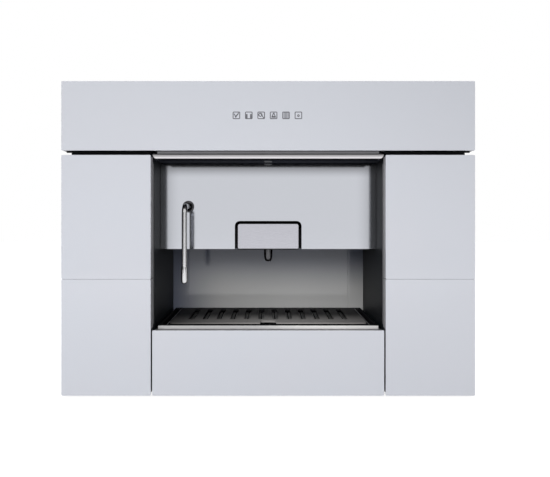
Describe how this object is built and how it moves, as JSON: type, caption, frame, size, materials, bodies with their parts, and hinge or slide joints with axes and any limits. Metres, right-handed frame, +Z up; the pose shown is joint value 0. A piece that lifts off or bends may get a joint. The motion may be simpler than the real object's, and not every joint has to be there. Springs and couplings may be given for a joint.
{
  "type": "built-in coffee machine",
  "caption": "Built-in bean-to-cup coffee machine with silver glass front, touch fascia, open cup niche, sliding outlet, swinging steam wand, hinged doors and pull-out drawers.",
  "frame": {"origin": "middle of the machine's box, at its base on the shelf", "axes": "+X to the viewer's right, -Y out of the front, +Z up"},
  "size_m": [0.595, 0.4, 0.455],
  "materials": {
    "front_glass": "back-painted silver glass, glossy",
    "mirror_panel": "polished silver",
    "black_plastic": "matt moulded black",
    "black_steel": "black coated steel",
    "sheet_steel": "galvanised sheet",
    "stainless": "brushed stainless steel",
    "aluminium_lip": "satin",
    "chrome": "polished",
    "clear_plastic": "smoked clear plastic",
    "grey_plastic": "matt grey",
    "board": "green circuit board",
    "cast_alloy": "cast, rough",
    "rubber": "matt",
    "lamp_lens": "frosted"
  },
  "bodies": {
    "machine": {"fascia_glass": "front_glass", "upper_glass_panel": "mirror_panel", "fascia_housing": "black_plastic", "niche_ceiling": "black_plastic", "housing_underside": "black_plastic", "outlet_guide": "black_plastic", "service_box": "black_plastic", "grinder_body": "black_plastic", "power_inlet": "black_plastic", "front_frame": "black_steel", "left_niche_wall": "black_steel", "right_niche_wall": "black_steel", "base_plate": "sheet_steel", "left_side_panel": "sheet_steel", "right_side_panel": "sheet_steel", "top_cover": "sheet_steel", "rear_panel": "sheet_steel", "upper_deck": "sheet_steel", "grinder_shelf": "sheet_steel", "back_wall": "stainless", "niche_lip": "aluminium_lip", "steam_pipe": "aluminium_lip", "wand_escutcheon": "chrome", "coffee_feed_tube": "chrome", "bean_hopper": "clear_plastic", "brew_unit": "grey_plastic", "pump": "grey_plastic", "touch_board": "board", "power_board": "board", "thermoblock": "cast_alloy", "foot_front_left": "rubber", "foot_front_right": "rubber", "foot_rear_left": "rubber", "foot_rear_right": "rubber", "niche_lamp_lens": "lamp_lens"},
    "left_door": {"left_door_glass": "front_glass", "left_door_liner": "black_plastic"},
    "right_door": {"right_door_glass": "front_glass", "right_door_liner": "black_plastic"},
    "grounds_drawer": {"grounds_drawer_glass": "front_glass", "grounds_drawer_carrier": "black_plastic", "grounds_bin": "grey_plastic"},
    "tank_drawer": {"tank_drawer_glass": "front_glass", "tank_drawer_carrier": "black_plastic", "water_tank": "clear_plastic", "tank_lid": "black_plastic"},
    "drip_drawer": {"drip_drawer_glass": "front_glass", "drip_drawer_carrier": "black_plastic", "drip_tray": "black_plastic", "tray_front_trim": "aluminium_lip"},
    "grille": {"drip_grille": "stainless"},
    "outlet": {"outlet_cover": "stainless", "outlet_body": "black_plastic", "outlet_nozzle": "chrome"},
    "swivel": {"wand_swivel": "black_plastic"},
    "wand": {"wand_pipe": "chrome", "wand_nozzle": "chrome"},
    "bean_lid": {"hopper_lid": "black_plastic"},
    "switch_key": {"main_switch": "grey_plastic"},
    "burr": {"grinder_burr": "cast_alloy"}
  },
  "joints": [
    {"name": "left_door_hinge", "type": "hinge", "parent": "machine", "child": "left_door", "pos_m": [-0.2925, -0.184, 0.2605], "axis": [0, 0, -1], "range_deg": [0, 100]},
    {"name": "right_door_hinge", "type": "hinge", "parent": "machine", "child": "right_door", "pos_m": [0.2925, -0.184, 0.2605], "axis": [0, 0, 1], "range_deg": [0, 100]},
    {"name": "grounds_drawer_slide", "type": "slide", "parent": "machine", "child": "grounds_drawer", "axis": [0, -1, 0], "range_m": [0, 0.235]},
    {"name": "tank_drawer_slide", "type": "slide", "parent": "machine", "child": "tank_drawer", "axis": [0, -1, 0], "range_m": [0, 0.25]},
    {"name": "drip_drawer_slide", "type": "slide", "parent": "machine", "child": "drip_drawer", "axis": [0, -1, 0], "range_m": [0, 0.17]},
    {"name": "grille_lift", "type": "slide", "parent": "drip_drawer", "child": "grille", "axis": [0, 0, 1], "range_m": [0, 0.035]},
    {"name": "outlet_slide", "type": "slide", "parent": "machine", "child": "outlet", "axis": [0, 0, -1], "range_m": [0, 0.048]},
    {"name": "wand_swing", "type": "hinge", "parent": "machine", "child": "swivel", "pos_m": [-0.1243, -0.1166, 0.2757], "axis": [0, -1, 0], "range_deg": [-18, 60]},
    {"name": "wand_tilt", "type": "hinge", "parent": "swivel", "child": "wand", "pos_m": [-0.1243, -0.1166, 0.2757], "axis": [-1, 0, 0], "range_deg": [0, 28]},
    {"name": "hopper_lid_hinge", "type": "hinge", "parent": "machine", "child": "bean_lid", "pos_m": [-0.2239, -0.072, 0.2761], "axis": [-1, 0, 0], "range_deg": [0, 45]},
    {"name": "main_switch_rock", "type": "hinge", "parent": "machine", "child": "switch_key", "pos_m": [0.2239, -0.0535, 0.2905], "axis": [1, 0, 0], "range_deg": [0, 16]},
    {"name": "burr_spin", "type": "hinge", "parent": "machine", "child": "burr", "pos_m": [-0.2239, -0.08, 0.19], "axis": [0, 0, 1], "continuous": true}
  ]
}
